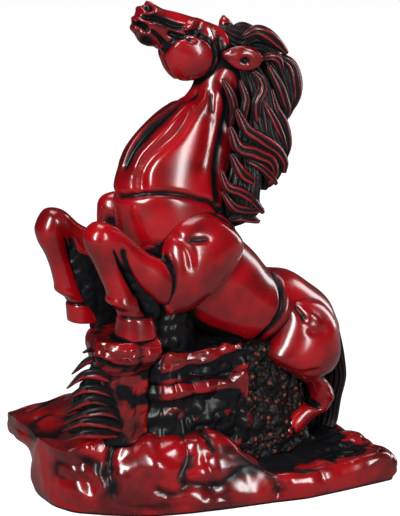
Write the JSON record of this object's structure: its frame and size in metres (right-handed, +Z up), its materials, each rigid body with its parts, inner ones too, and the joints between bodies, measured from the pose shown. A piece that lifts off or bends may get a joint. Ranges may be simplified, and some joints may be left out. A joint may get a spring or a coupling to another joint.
{
  "type": "rearing horse figurine",
  "caption": "Red lacquer-look cast resin figurine of a rearing horse on a rocky base, with black antiquing in the recesses.",
  "frame": {"origin": "middle of the underside of the base, on the surface that the figurine stands on", "axes": "+Z up, the horse faces -X, its left side is -Y"},
  "size_m": [0.138, 0.086, 0.1954],
  "materials": {
    "red_resin": "glossy crimson over black antiquing",
    "dark_resin": "black with crimson highlights on the ridges",
    "felt": "short black felt",
    "steel": "plain drawn steel"
  },
  "bodies": {
    "root": {"torso": "red_resin", "left_shoulder": "red_resin", "right_shoulder": "red_resin", "neck": "red_resin", "head": "red_resin", "left_ear": "red_resin", "right_ear": "red_resin", "left_foreleg": "red_resin", "right_foreleg": "red_resin", "left_hind_leg": "red_resin", "right_hind_leg": "red_resin", "ground_base": "red_resin", "rock_ledge": "red_resin", "leaf_clump": "red_resin", "forelock": "dark_resin", "mane_crest": "dark_resin", "mane_upper": "dark_resin", "mane_lower": "dark_resin", "tail": "dark_resin", "rock_block": "dark_resin", "gravel_mound": "dark_resin", "felt_pad": "felt", "neck_dowel": "steel", "rock_dowels": "steel", "foreleg_pins": "steel", "hip_pins": "steel", "hoof_pins": "steel"}
  },
  "joints": []
}
